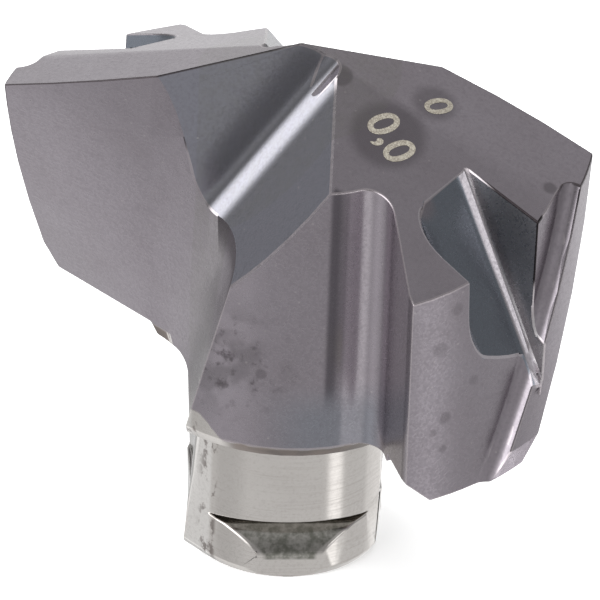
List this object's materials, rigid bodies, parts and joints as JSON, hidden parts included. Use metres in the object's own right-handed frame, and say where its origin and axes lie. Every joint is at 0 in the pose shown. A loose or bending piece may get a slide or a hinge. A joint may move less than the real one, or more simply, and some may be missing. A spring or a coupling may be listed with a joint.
{
  "type": "replaceable drill tip",
  "caption": "Self-centring carbide cutting head that locks onto a drill body, with helical flute lands, a gashed point, a flat seat, drive faces and a stub with an undercut foot.",
  "frame": {"origin": "middle of the foot's flat bottom, on the drill axis", "axes": "+Z along the drill axis towards the point; seen from above the two main cutting edges run along X, the right one leading towards +Y"},
  "size_m": [0.0072, 0.0046, 0.0069],
  "materials": {
    "carbide": "ground, with a thin dark coat above the seat and bare below it"
  },
  "bodies": {
    "root": {"drill_tip": "carbide"}
  },
  "joints": []
}
